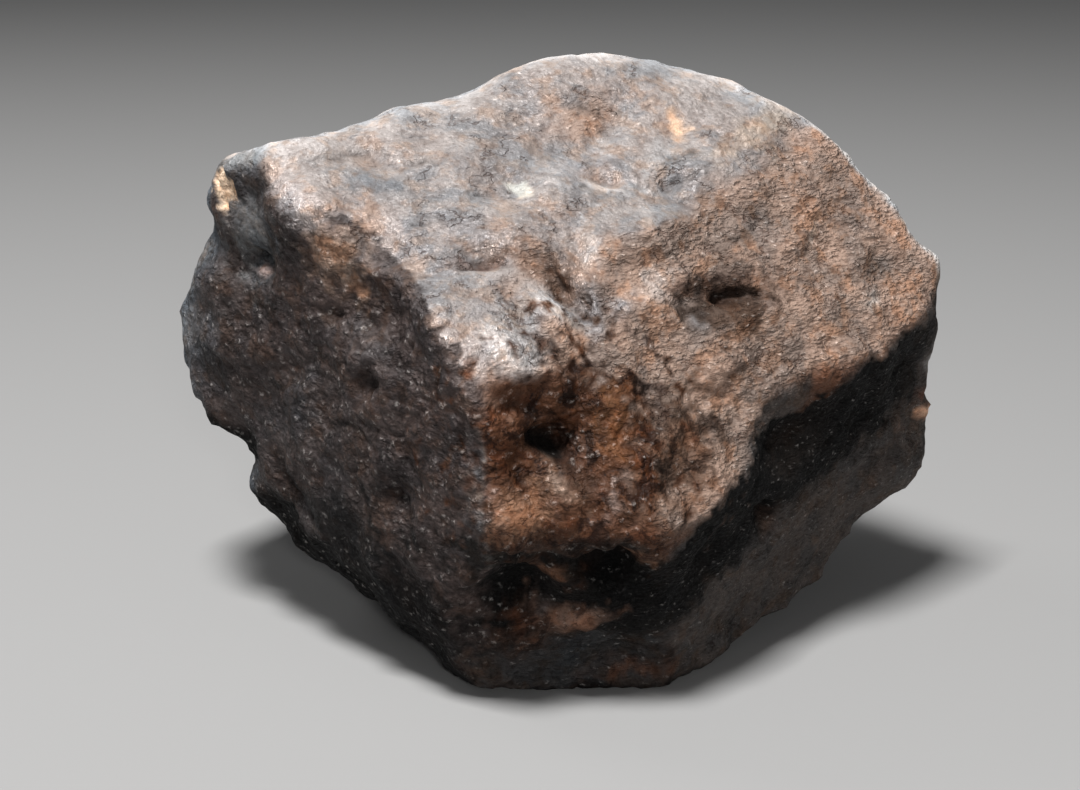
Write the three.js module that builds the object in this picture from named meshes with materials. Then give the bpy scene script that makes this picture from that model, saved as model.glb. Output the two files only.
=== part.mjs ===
// A chondrite meteorite: one stone with blunt facets, rounded ridges and the shallow thumbprint
// hollows that the air melted into it on the way down. It rests on a small flat spot.
// Millimetres, +Z up; the keel between the two front faces points towards -Y, and the origin is at
// floor level under the middle of the stone.
import * as THREE from "three";
import { ImprovedNoise } from "three/addons/math/ImprovedNoise.js";
import { mergeVertices } from "three/addons/utils/BufferGeometryUtils.js";

// Driving dimensions.
const heartHeight = 28; // the point inside the stone that every direction is seen from
const crispRounding = 0.6; // how softly two facets run into each other where ridges are crispest
const wornRounding = 2.2; // and on the worn side
const wornSide = new THREE.Vector3(0.1, 0.8, 0.6).normalize(); // where the ridges are most worn
const broadSwell = { across: 13, height: 0.9 }; // low swells that break up the flat of the facets
const fineSwell = { across: 5.5, height: 0.4 };
const steepShare = 1.5; // how strongly "steep" below tilts the bowl of a hollow
const meshDetail = 20; // cuts along each edge of the starting icosahedron

// Facets of the body. Heading turns from +X towards +Y and pitch is the angle above the horizon, in
// degrees; reach is how far the facet's plane lies from the heart.
const facets = [
  { name: "crown front", heading: -80, pitch: 57, reach: 19.6 },
  { name: "crown top", heading: 53, pitch: 74, reach: 35.0 },
  { name: "crown left", heading: 141, pitch: 66, reach: 27.1 },
  { name: "crown right", heading: 24, pitch: 58, reach: 33.3 },
  { name: "right shoulder", heading: 14, pitch: 38, reach: 35.5 },
  { name: "right front", heading: -57, pitch: 29, reach: 19.9 },
  { name: "right end", heading: 0, pitch: -2, reach: 38.4 },
  { name: "right belly", heading: 5, pitch: -48, reach: 35.6 },
  { name: "lower right", heading: -39, pitch: -14, reach: 26.9 },
  { name: "keel front", heading: -76, pitch: 3, reach: 28.2 },
  { name: "keel foot", heading: -87, pitch: -24, reach: 30.6 },
  { name: "left front", heading: -136, pitch: -1, reach: 26.2 },
  { name: "lower left", heading: -145, pitch: -30, reach: 30.2 },
  { name: "left flank", heading: -158, pitch: 7, reach: 34.3 },
  { name: "left end", heading: 180, pitch: 2, reach: 38.3 },
  { name: "left horn", heading: 178, pitch: 24, reach: 39.3 },
  { name: "left belly", heading: 173, pitch: -37, reach: 33.4 },
  { name: "left foot", heading: -162, pitch: -62, reach: 31 },
  { name: "back", heading: 92, pitch: 8, reach: 31 },
  { name: "back left", heading: 138, pitch: 22, reach: 33 },
  { name: "back right", heading: 42, pitch: 12, reach: 33 },
  { name: "back crown", heading: 80, pitch: 48, reach: 30.5 },
  { name: "back belly", heading: 100, pitch: -45, reach: 30 },
  { name: "sole", heading: 0, pitch: -90, reach: 28.8 },
  { name: "sole left", heading: -170, pitch: -78, reach: 28.9 },
  { name: "sole right", heading: 5, pitch: -78, reach: 30.1 },
  { name: "sole back", heading: 95, pitch: -80, reach: 29.7 },
];

// Hollows and swells. "at" is the heading and pitch of the middle, "size" is the length and width of
// the rim, "turn" is how far the long way leans up to the right, in degrees, and "depth" is how far
// the middle is sunk, below zero where it stands proud. "steep" moves the deepest place towards the
// upper rim, or towards the lower one where it is below zero.
const marks = [
  // The crown.
  { name: "valley beside the tongue", at: [-91, 29], size: [12, 5.5], turn: -52, depth: 2 },
  { name: "crease above the tongue", at: [-113, 34], size: [7, 4], turn: 5, depth: 0.9, steep: 0.5 },
  { name: "furrow in the tongue", at: [-100, 24], size: [10, 3.5], turn: -70, depth: 0.7 },
  { name: "tongue", at: [-100, 13], size: [10, 7], turn: -60, depth: -0.8 },
  { name: "second tongue", at: [-92, 19], size: [8, 4], turn: -60, depth: -0.7 },
  { name: "crown hollow left", at: [-161, 45], size: [10, 6], turn: 15, depth: 0.9, steep: 0.6 },
  { name: "crown hollow middle", at: [-120, 58], size: [10, 7], turn: 20, depth: 0.6, steep: 0.4 },
  { name: "crown hollow right", at: [-58, 66], size: [7, 4.5], turn: -30, depth: 0.9, steep: 0.5 },
  { name: "crown hollow far", at: [10, 77], size: [8, 5], turn: -30, depth: 0.9, steep: 0.4 },
  { name: "crown pit", at: [-26, 57], size: [5, 3.5], turn: 10, depth: 1 },
  { name: "crown flake scar", at: [4, 62], size: [7, 5], turn: 20, depth: 0.6 },
  { name: "crown rib", at: [-78, 42], size: [9, 4], turn: 80, depth: -0.7 },
  { name: "dip in the crown's edge", at: [-176, 48], size: [12, 9], turn: 0, depth: 0.9 },
  { name: "horn corner", at: [178, 31], size: [10, 8], turn: 0, depth: -2 },
  { name: "horn shoulder", at: [-156, 29], size: [15, 11], turn: -20, depth: -1.2 },
  { name: "crown summit", at: [88, 76], size: [27, 18], turn: 0, depth: -1.4 },
  // The right front face.
  { name: "brow", at: [-52, 45], size: [15, 7], turn: 10, depth: -0.9, steep: -0.5 },
  { name: "long hollow", at: [-40, 22], size: [15, 6], turn: -6, depth: 1.3, steep: 0.5 },
  { name: "deep pit", at: [-36, 20], size: [4.5, 3.2], turn: -15, depth: 1.5, steep: 0.4 },
  { name: "terrace", at: [-68, 25], size: [7, 5], turn: 30, depth: -0.9 },
  { name: "hollow under the terrace", at: [-62, 15], size: [12, 5], turn: 25, depth: 0.5, steep: 0.3 },
  { name: "shoulder hollow", at: [-18, 36], size: [10, 6], turn: -25, depth: 0.6 },
  { name: "shoulder streak", at: [-10, 30], size: [8, 4], turn: 35, depth: -0.5 },
  { name: "tip hollow", at: [-2, 15], size: [6, 5], turn: 40, depth: 0.8 },
  { name: "tip rib", at: [-8, 10], size: [8, 3.5], turn: 45, depth: -0.7 },
  { name: "middle swell", at: [-45, 8], size: [12, 8], turn: 20, depth: -0.7 },
  { name: "low swell", at: [-68, -5], size: [11, 5], turn: 35, depth: -0.9 },
  { name: "low hollow", at: [-65, -14], size: [8, 5], turn: 20, depth: 0.6 },
  // The keel.
  { name: "rim undercut", at: [-99, 4], size: [9, 4.5], turn: -5, depth: 1.1, steep: 0.5 },
  { name: "hollow under the tongue", at: [-94, -8], size: [18, 15], turn: -25, depth: 3, steep: 0.5 },
  { name: "dark pit", at: [-91, -3], size: [6, 4.5], turn: -30, depth: 1.2 },
  { name: "lit ridge", at: [-90, -12], size: [8, 4], turn: -60, depth: -1 },
  { name: "crease over the foot", at: [-92, -22], size: [13, 4], turn: 0, depth: 0.9, steep: -0.4 },
  { name: "foot hollow left", at: [-99, -32], size: [11, 10], turn: 0, depth: 2.6, steep: 0.4 },
  { name: "foot hollow right", at: [-81, -27], size: [9, 6.5], turn: 10, depth: 2.3, steep: 0.5 },
  { name: "foot swell", at: [-84, -38], size: [9, 4.5], turn: 15, depth: -1 },
  { name: "foot hollow low", at: [-75, -47], size: [12, 7], turn: 5, depth: 1.6 },
  // The lower right face.
  { name: "dark hollow", at: [-30, -11], size: [19, 11], turn: 28, depth: 2.4, steep: 0.8 },
  { name: "hole", at: [-38, -27], size: [5, 5], turn: 0, depth: 1.3 },
  { name: "hollow at the lip", at: [-58, -29], size: [10, 5.5], turn: 40, depth: 1.2 },
  { name: "notch at the tip", at: [-1, -3], size: [7, 4], turn: 0, depth: 0.7 },
  { name: "swell under the tip", at: [8, -21], size: [16, 13], turn: 0, depth: -1.5 },
  // The left faces.
  { name: "pit at the left end", at: [-167, 18], size: [8, 7], turn: 0, depth: 1.1, steep: 0.7 },
  { name: "upper dent", at: [-144, 15], size: [6, 4], turn: 40, depth: 0.8 },
  { name: "scoop in the ridge", at: [-133, 19], size: [23, 15], turn: -40, depth: 2.5, steep: 0.5 },
  { name: "middle dent", at: [-133, 3], size: [5, 3.5], turn: 45, depth: 1, steep: 0.4 },
  { name: "dent by the keel", at: [-124, -19], size: [8, 5], turn: -50, depth: 0.8 },
  { name: "hollow in the left edge", at: [-158, -24], size: [12, 4.5], turn: -40, depth: 0.8 },
  { name: "notch under the left end", at: [180, -18], size: [16, 9], turn: 0, depth: 2.3 },
  { name: "left bulge", at: [-172, 2], size: [12, 10], turn: 0, depth: -1 },
  { name: "left end bulge", at: [167, 0], size: [15, 14], turn: 0, depth: -0.6 },
  { name: "hollow under the horn", at: [177, 18], size: [22, 9], turn: 0, depth: 1.5 },
  // The back.
  { name: "back thumbprint", at: [95, 14], size: [21, 15], turn: 20, depth: 2, steep: 0.3 },
  { name: "back right thumbprint", at: [66, -8], size: [15, 11], turn: -30, depth: 1.7, steep: -0.3 },
  { name: "back left thumbprint", at: [125, -10], size: [17, 12], turn: 40, depth: 1.8, steep: 0.2 },
  { name: "back left shoulder", at: [143, 28], size: [16, 12], turn: -20, depth: 1.6, steep: 0.3 },
  { name: "back right shoulder", at: [45, 24], size: [15, 10], turn: 35, depth: 1.4 },
  { name: "back crown dent", at: [82, 50], size: [14, 10], turn: 10, depth: 1.3 },
  { name: "right flank dent", at: [28, -16], size: [14, 10], turn: 60, depth: 1.5 },
  { name: "left flank dent", at: [160, -10], size: [13, 9], turn: -60, depth: 1.3 },
  { name: "right end dent", at: [12, 8], size: [10, 7], turn: 20, depth: 1 },
  { name: "back pit", at: [84, 3], size: [4.5, 3.5], turn: 30, depth: 1 },
  { name: "back left pit", at: [112, 22], size: [4, 3], turn: -40, depth: 0.9 },
  { name: "back ridge swell", at: [110, 30], size: [16, 7], turn: 50, depth: -1 },
  { name: "right ridge swell", at: [40, 2], size: [14, 7], turn: -50, depth: -1 },
  // The underside.
  { name: "back belly dent", at: [108, -42], size: [17, 10], turn: 10, depth: 1.4 },
  { name: "underside dent", at: [-172, -52], size: [14, 8], turn: 70, depth: 1 },
  { name: "right underside dent", at: [8, -48], size: [15, 9], turn: 20, depth: 1.2 },
  { name: "sole hollow right", at: [25, -60], size: [12, 9], turn: 30, depth: 1.2 },
  { name: "sole hollow back", at: [125, -60], size: [14, 9], turn: 0, depth: 1.3 },
];

function direction(heading, pitch) {
  const h = THREE.MathUtils.degToRad(heading);
  const p = THREE.MathUtils.degToRad(pitch);
  return new THREE.Vector3(Math.cos(h) * Math.cos(p), Math.sin(h) * Math.cos(p), Math.sin(p));
}

const planes = facets.map(({ heading, pitch, reach }) => ({ normal: direction(heading, pitch), reach }));

// How far the faceted body reaches from the heart along a unit direction.
function facetReach(along) {
  const wear = Math.max(0, along.dot(wornSide));
  const rounding = THREE.MathUtils.lerp(crispRounding, wornRounding, wear);
  let sum = 0;
  for (const { normal, reach } of planes) {
    const facing = normal.dot(along);
    if (facing > 0) sum += Math.exp(-reach / facing / rounding);
  }
  return -Math.log(sum) * rounding;
}

// A mark set on the body: its middle, and the two ways that its length and width run.
function placeMark({ at, size, turn, depth, steep = 0 }) {
  const outward = direction(...at);
  const level = new THREE.Vector3(0, 0, 1).cross(outward).normalize();
  const lengthwise = level.applyAxisAngle(outward, THREE.MathUtils.degToRad(turn));
  const widthwise = new THREE.Vector3().crossVectors(outward, lengthwise);
  const middle = outward.clone().multiplyScalar(facetReach(outward));
  return { outward, middle, lengthwise, widthwise, length: size[0], width: size[1], depth, steep };
}

const placedMarks = marks.map(placeMark);

// How deep all the marks together are at a point of the body.
function markDepth(point) {
  let total = 0;
  const offset = new THREE.Vector3();
  for (const { outward, middle, lengthwise, widthwise, length, width, depth, steep } of placedMarks) {
    if (outward.dot(point) < 0) continue; // the far side of the stone
    offset.subVectors(point, middle);
    const a = offset.dot(lengthwise) / (length / 2);
    const b = offset.dot(widthwise) / (width / 2);
    const inside = 1 - a * a - b * b;
    if (inside > 0) total += depth * inside * inside * (1 + steepShare * steep * b);
  }
  return total;
}

const noise = new ImprovedNoise();

function swellHeight(point, { across, height }) {
  return height * noise.noise(point.x / across, point.y / across, point.z / across);
}

function stoneGeometry() {
  const ball = new THREE.IcosahedronGeometry(1, meshDetail);
  ball.deleteAttribute("normal");
  ball.deleteAttribute("uv");
  const geometry = mergeVertices(ball);
  const position = geometry.attributes.position;
  const along = new THREE.Vector3();
  const point = new THREE.Vector3();
  for (let i = 0; i < position.count; i++) {
    along.fromBufferAttribute(position, i).normalize();
    const reach = facetReach(along);
    point.copy(along).multiplyScalar(reach);
    const relief = swellHeight(point, broadSwell) + swellHeight(point, fineSwell) - markDepth(point);
    point.copy(along).multiplyScalar(reach + relief);
    if (point.z < -heartHeight) point.multiplyScalar(-heartHeight / point.z); // the flat spot
    position.setXYZ(i, point.x, point.y, Math.max(0, point.z + heartHeight));
  }
  geometry.computeBoundingBox();
  const middle = geometry.boundingBox.getCenter(new THREE.Vector3());
  geometry.translate(-middle.x, -middle.y, 0);
  geometry.computeVertexNormals();
  return geometry;
}

const crust = new THREE.MeshStandardMaterial({ color: 0x5a4d45, roughness: 0.7, metalness: 0.0 });
const stone = new THREE.Mesh(stoneGeometry(), crust);
stone.name = "meteorite";

const part = new THREE.Group();
part.add(stone);

export default part;
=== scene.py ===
import math

import bmesh
import bpy
from mathutils import Euler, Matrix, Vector, noise
from mathutils.bvhtree import BVHTree


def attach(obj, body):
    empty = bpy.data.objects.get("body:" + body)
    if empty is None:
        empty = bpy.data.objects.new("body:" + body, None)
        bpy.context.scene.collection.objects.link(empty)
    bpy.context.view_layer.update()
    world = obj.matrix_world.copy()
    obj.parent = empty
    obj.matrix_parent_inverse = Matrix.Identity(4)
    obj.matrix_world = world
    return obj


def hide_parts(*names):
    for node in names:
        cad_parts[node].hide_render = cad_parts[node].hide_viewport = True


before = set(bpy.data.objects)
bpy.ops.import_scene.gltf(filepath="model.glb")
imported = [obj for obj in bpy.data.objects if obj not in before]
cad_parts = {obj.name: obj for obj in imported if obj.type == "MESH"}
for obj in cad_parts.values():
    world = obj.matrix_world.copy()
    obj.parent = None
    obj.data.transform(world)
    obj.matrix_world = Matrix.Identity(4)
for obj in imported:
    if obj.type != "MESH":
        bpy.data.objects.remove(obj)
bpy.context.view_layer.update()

mm = 0.001

# A heading runs from +X towards +Y, a pitch runs up from level, both in degrees, seen from the
# heart of the stone. Lengths in the dictionaries are in millimetres, and across is the size of
# a noise's waves.
stoneShape = {
    "heart": (0.097, -1.599, 28.0),
    "seed": 5,  # one fixed seed, so that every run makes the same stone
    "weld": 0.001,  # corners closer together than this are joined
    "cuts": 3,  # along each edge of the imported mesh
    "settle": 3,  # smoothing passes after the cuts
    "wearPasses": 40,  # smoothing passes of the worn copy that ridges and hollows are told by
    "crisp": 0.35,  # how much of that difference is added to the ridges and hollows
    "warps": ((4.5, 0.6), (1.9, 0.2)),  # across and size of the drifts that make every outline uneven
    "warpShift": (2, 8, 5),
    "sways": ((5.0, 0.16), (1.5, 0.1)),  # across and size of what makes the zones meet unevenly
    "crownWear": 0.45,  # share of the relief and the drift that the crown has lost
    "crownSlope": (0.3, 0.9),  # how level the ground is where that starts, and where it is full
    # The crust's own relief: a noise each, with its height and a shift that keeps it apart from the others.
    # Warts and pocks are only the peaks of theirs, above from.
    "reliefs": {
        "lumps": {"across": 4.6, "height": 0.26},
        "knobs": {"across": 2.2, "height": 0.26, "shift": (7, 3, 5), "always": 0.4},  # share on smooth crust
        "wrinkles": {"across": 1.4, "flat": 0.55, "height": 0.2},
        "warts": {"across": 1.3, "height": 0.6, "shift": (31, 5, 9), "from": 0.28},
        "pocks": {"across": 1.2, "height": 0.8, "shift": (3, 41, 17), "from": 0.3},
        "bareRock": {"across": 0.75, "height": 0.16},
    },
    # How uneven the rims are, and how a mark, a ledge and a shore fade out.
    "rims": {
        "fine": {"across": 0.9, "size": 0.45},
        "broad": {"across": 2.4, "size": 0.28, "shift": (9, 9, 9)},
        "blotchy": 1.6,  # how much more the rims of stains are broken up
        "markReach": 1.4,  # in sizes of the mark
        "pathReach": 1.3,  # in reaches of the ledge or shore
        "ledgeFray": 0.5,  # how ragged the lip is
        "ledgeFall": 1.5,  # how quickly the ground comes back up
        "ledgeLip": 0.35,  # how wide the step itself is
        "ledgeEnds": 0.2,  # share of the path over which it dies out at both ends
        # painted shade: the ground below a ledge is darkened, most right under the lip
        "ledgePaintedShade": (0.3, 0.35),  # how much darker the low side is, and how much more right under the lip
        "shoreEdge": 0.25,  # half of the width over which the stain begins
        "shoreFray": 1.6,  # how ragged it is there
        "shoreHold": 0.7,  # share of the reach that is covered in full
        "shoreFarFray": 2.0,  # how ragged it is at the far side
        "shoreEndFray": 0.05,  # and at the end of the path
    },
}

# Small marks: hollow where depth is positive, raised where it is negative. The size is from the
# middle to the rim, along and across, turn tilts it out of level, and floor is the share of it that
# is level.
dents = [
    {"name": "chip at the left tip", "at": (-174, 28), "size": (2.2, 2.3), "turn": 8,
     "depth": 0.45, "floor": 0.75},
    {"name": "slit of the end pit", "at": (-168, 20), "size": (1.6, 0.7), "turn": 18, "depth": 1.2},
    {"name": "knob in the end pit", "at": (-167, 17), "size": (1.2, 1.0), "turn": 0, "depth": -0.4},
    {"name": "deep pit", "at": (-31.5, 21.5), "size": (1.9, 0.9), "turn": -28, "depth": 1.1},
    {"name": "second hollow of the deep pit", "at": (-36, 23.5), "size": (1.1, 0.6), "turn": -10,
     "depth": 0.4},
    {"name": "fill of the deep pit", "at": (-38, 21), "size": (7.0, 4.4), "turn": -10, "depth": -0.85},
    {"name": "fill of the valley", "at": (-92, 34), "size": (3.4, 2.6), "turn": -40, "depth": -0.5},
    {"name": "fill beside the horn", "at": (-173, 31), "size": (2.6, 4.0), "turn": 0, "depth": -0.6},
    {"name": "worn ridge by the horn", "at": (-165, 32), "size": (4.0, 5.0), "turn": 0, "depth": 0.7},
    {"name": "worn side of the horn", "at": (178, 28), "size": (6.0, 7.0), "turn": 0, "depth": 0.7},
    {"name": "fill under the right edge", "at": (-25, -5), "size": (7.5, 4.2), "turn": 33, "depth": -0.85},
    {"name": "nose pit", "at": (-92, -4.5), "size": (3.2, 1.3), "turn": -36, "depth": 1.4},
    {"name": "nose pit step", "at": (-97, 1), "size": (2.0, 1.0), "turn": -10, "depth": 0.2},
    {"name": "left small pit", "at": (-130, 4), "size": (1.2, 0.7), "turn": 40, "depth": 0.6},
    {"name": "left upper pit", "at": (-144, 15), "size": (1.0, 0.6), "turn": 35, "depth": 0.5},
    {"name": "left lower pit", "at": (-133, -13), "size": (0.9, 1.3), "turn": 0, "depth": 0.6},
    {"name": "shoulder pinhole", "at": (-17, 34), "size": (0.7, 0.6), "turn": 0, "depth": 0.6},
    {"name": "hole in the dark face", "at": (-37, -27), "size": (1.2, 1.4), "turn": 0, "depth": 0.9},
    {"name": "second hole", "at": (-33, -33), "size": (1.0, 1.1), "turn": 0, "depth": 0.6},
    {"name": "broken knob at the right tip", "at": (9, -12), "size": (1.9, 1.7), "turn": 0,
     "depth": -0.7, "floor": 0.4},
]

# Little ledges: the crust breaks off along a path of headings and pitches, and the ground on the
# right-hand side of the path lies lower by depth and comes back up over reach.
ledges = [
    {"name": "lip of the rust hollow", "reach": 2.0, "depth": 0.4,
     "path": [(-160, 39), (-161, 42), (-163, 45), (-162, 48)]},
    {"name": "crown crack left", "reach": 1.0, "depth": 0.35,
     "path": [(-155, 50), (-150, 52), (-149, 55), (-145, 55)]},
    {"name": "crown crack middle", "reach": 1.2, "depth": 0.35,
     "path": [(-130, 52), (-126, 56), (-121, 57)]},
    {"name": "crown crack low", "path": [(-136, 37), (-132, 39), (-129, 40)], "reach": 1.0, "depth": 0.2},
    {"name": "brow over the tongue", "reach": 2.2, "depth": 0.5,
     "path": [(-119, 30), (-116, 31), (-114, 33), (-111, 35), (-108, 37), (-103, 39)]},
    {"name": "side of the tongue", "reach": 2.4, "depth": 0.15,
     "path": [(-95, 43), (-93, 38), (-90, 32), (-86, 27)]},
    {"name": "step under the horn", "reach": 1.8, "depth": 0.5,
     "path": [(-151, 29), (-149.5, 30.5), (-148, 32), (-146, 32.5), (-143, 34)]},
    {"name": "crown ledge far", "reach": 2.2, "depth": 0.35,
     "path": [(43, 86), (28, 83), (21, 80), (20, 77)]},
    {"name": "crown ledge middle", "reach": 2.4, "depth": 0.2,
     "path": [(-84, 64), (-74, 66), (-66, 63), (-60, 58)]},
    {"name": "crown ledge right", "path": [(-24, 58), (-23, 55), (-18, 52)], "reach": 2.2, "depth": 0.24},
    {"name": "crown wedge", "path": [(-17, 63), (-13, 59), (-7, 56)], "reach": 2.4, "depth": 0.3},
    {"name": "brow of the deep pit", "reach": 1.4, "depth": 0.3,
     "path": [(-39, 25), (-34, 24.5), (-29, 22), (-25, 19.5)]},
    {"name": "nose brow", "path": [(-104, 4), (-99, 4), (-94, 2), (-89, -1)], "reach": 1.4, "depth": 0.35},
    {"name": "shoulder ledge", "path": [(-28, 38), (-25, 35), (-19, 34)], "reach": 1.6, "depth": 0.3},
    {"name": "tip crack", "path": [(1, 11), (2, 9), (4, 5)], "reach": 0.8, "depth": 0.3},
    {"name": "foot brow", "reach": 2.4, "depth": 0.7,
     "path": [(-102, -20), (-98, -22), (-90, -24), (-82, -26), (-74, -25)]},
    {"name": "left ledge high", "path": [(-142, 20), (-137, 19), (-133, 15)], "reach": 1.6, "depth": 0.35},
    {"name": "left ledge low", "path": [(-146, -8), (-138, -6), (-130, -9)], "reach": 1.8, "depth": 0.35},
    {"name": "back ledge high", "reach": 2.2, "depth": 0.45,
     "path": [(104, 31), (92, 33), (80, 30), (70, 32)]},
    {"name": "back ledge low", "reach": 2.0, "depth": 0.45,
     "path": [(92, -12), (80, -15), (68, -12), (60, -15)]},
    {"name": "back left ledge", "path": [(156, 12), (147, 10), (138, 13)], "reach": 1.8, "depth": 0.4},
    {"name": "back crown ledge", "path": [(120, 58), (95, 60), (70, 57)], "reach": 2.0, "depth": 0.35},
    {"name": "right end ledge", "path": [(32, 6), (24, 8), (14, 5)], "reach": 1.8, "depth": 0.4},
]

# What each side of the crust looks like: facing is the way that the surface looks there. Grain is how
# coarse the crust is, sheen how silvery, dash how far its grains are drawn out, soot how blotched it is.
# The tones hold painted light as well as the crust's own colour: the crown's upper faces and the tongue
# are painted paler as a painted sheen, and the foot and the lower left darker as painted shade.
zones = [
    {"name": "crown", "facing": (-85, 66), "tone": (0.285, 0.247, 0.232),
     "grain": 0.7, "sheen": 0.8, "dash": 0.3, "soot": 0.0},
    # painted sheen: crown middle and crown top are painted paler than their crust
    {"name": "crown middle", "facing": (-78, 80), "tone": (0.59, 0.545, 0.52),
     "grain": 0.5, "sheen": 0.7, "dash": 0.3, "soot": 0.0},
    {"name": "crown top", "facing": (20, 85), "tone": (0.77, 0.74, 0.73),
     "grain": 0.5, "sheen": 0.5, "dash": 0.5, "soot": 0.0},
    {"name": "crown back", "facing": (60, 58), "tone": (0.38, 0.32, 0.29),
     "grain": 0.5, "sheen": 0.4, "dash": 0.3, "soot": 0.0},
    # painted sheen: the tongue is painted paler than its crust as well
    {"name": "tongue", "facing": (-104, 32), "tone": (0.40, 0.345, 0.325),
     "grain": 0.7, "sheen": 1.0, "dash": 0.2, "soot": 0.0},
    {"name": "right front", "facing": (-57, 29), "tone": (0.40, 0.275, 0.213),
     "grain": 1.0, "sheen": 0.6, "dash": 1.0, "soot": 0.15},
    {"name": "right shoulder", "facing": (10, 36), "tone": (0.60, 0.575, 0.555),
     "grain": 0.9, "sheen": 0.3, "dash": 0.9, "soot": 0.15},
    {"name": "right end", "facing": (5, 0), "tone": (0.05, 0.042, 0.037),
     "grain": 0.8, "sheen": 0.4, "dash": 0.6, "soot": 0.5},
    {"name": "nose", "facing": (-76, 2), "tone": (0.11, 0.046, 0.024),
     "grain": 1.0, "sheen": 0.5, "dash": 0.3, "soot": 0.8},
    {"name": "lower right", "facing": (-39, -18), "tone": (0.080, 0.066, 0.059),
     "grain": 0.8, "sheen": 0.35, "dash": 0.8, "soot": 0.3},
    # painted shade: the foot is painted darker than its crust
    {"name": "foot", "facing": (-87, -32), "tone": (0.036, 0.025, 0.020),
     "grain": 0.9, "sheen": 0.1, "dash": 0.3, "soot": 0.9},
    {"name": "left front", "facing": (-136, -1), "tone": (0.062, 0.046, 0.042),
     "grain": 1.0, "sheen": 0.7, "dash": 0.15, "soot": 0.5},
    # painted shade: the lower left is painted near black
    {"name": "lower left", "facing": (-150, -32), "tone": (0.0015, 0.0013, 0.0013),
     "grain": 0.9, "sheen": 0.0, "dash": 0.2, "soot": 0.3},
    {"name": "left flank", "facing": (-162, 8), "tone": (0.112, 0.113, 0.12),
     "grain": 0.8, "sheen": 0.5, "dash": 0.1, "soot": 0.4},
    {"name": "left end", "facing": (178, 2), "tone": (0.19, 0.205, 0.22),
     "grain": 0.6, "sheen": 0.5, "dash": 0.1, "soot": 0.3},
    {"name": "horn", "facing": (178, 34), "tone": (0.26, 0.255, 0.25),
     "grain": 0.7, "sheen": 0.6, "dash": 0.1, "soot": 0.2},
    {"name": "back", "facing": (92, 8), "tone": (0.19, 0.125, 0.095),
     "grain": 0.9, "sheen": 0.5, "dash": 0.5, "soot": 0.5},
    {"name": "back left", "facing": (138, 16), "tone": (0.15, 0.115, 0.10),
     "grain": 0.9, "sheen": 0.6, "dash": 0.2, "soot": 0.5},
    {"name": "back right", "facing": (42, 8), "tone": (0.23, 0.145, 0.11),
     "grain": 1.0, "sheen": 0.5, "dash": 0.8, "soot": 0.4},
    {"name": "belly", "facing": (100, -50), "tone": (0.026, 0.020, 0.018),
     "grain": 0.7, "sheen": 0.3, "dash": 0.3, "soot": 0.6},
    {"name": "sole", "facing": (0, -90), "tone": (0.02, 0.017, 0.016),
     "grain": 0.5, "sheen": 0.2, "dash": 0.3, "soot": 0.3},
]
zoneFocus = 26.0  # how quickly one zone gives way to the next

# Stains that start at a path and cover what lies on its right-hand side, as far as reach; the two under
# the right edge and under the nose are painted shade over dark crust. Manner is sheen, dash and soot, and
# fade is the share of the path over which a stain dies out at its end.
shores = [
    {"name": "dark of the left face",
     "path": [(-150, 28), (-146, 32), (-143, 33), (-138, 32), (-132, 30), (-126, 27), (-119, 22), (-114, 18),
              (-110, 13), (-106, 9), (-103.5, 4), (-103, -1), (-103, -10), (-102, -15), (-103, -20)],
     "reach": 15.0, "tone": (0.068, 0.050, 0.046), "share": 0.85, "grain": 1.0, "manner": (0.7, 0.15, 0.5)},
    # painted shade over dark crust below the right edge
    {"name": "painted shade under the right edge",
     "path": [(-76, -27), (-63, -20), (-52, -16), (-45, -12), (-36, -8), (-27, -7), (-19, -2.5), (-11, 0.5),
              (-4, 3), (4, 5), (14, 3)],
     "fade": 0.2, "reach": 11.0, "tone": (0.003, 0.0028, 0.0027), "share": 0.97, "grain": 0.9,
     "manner": (0.3, 0.8, 0.3)},
    # painted shade over dark crust below the foot's brow
    {"name": "painted shade under the nose", "path": [(-103, -20), (-98, -22), (-90, -24), (-82, -26), (-76, -25)],
     "reach": 3.5, "tone": (0.006, 0.005, 0.004), "share": 0.85, "grain": 0.8, "manner": (0.3, 0.3, 0.6)},
]
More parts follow.
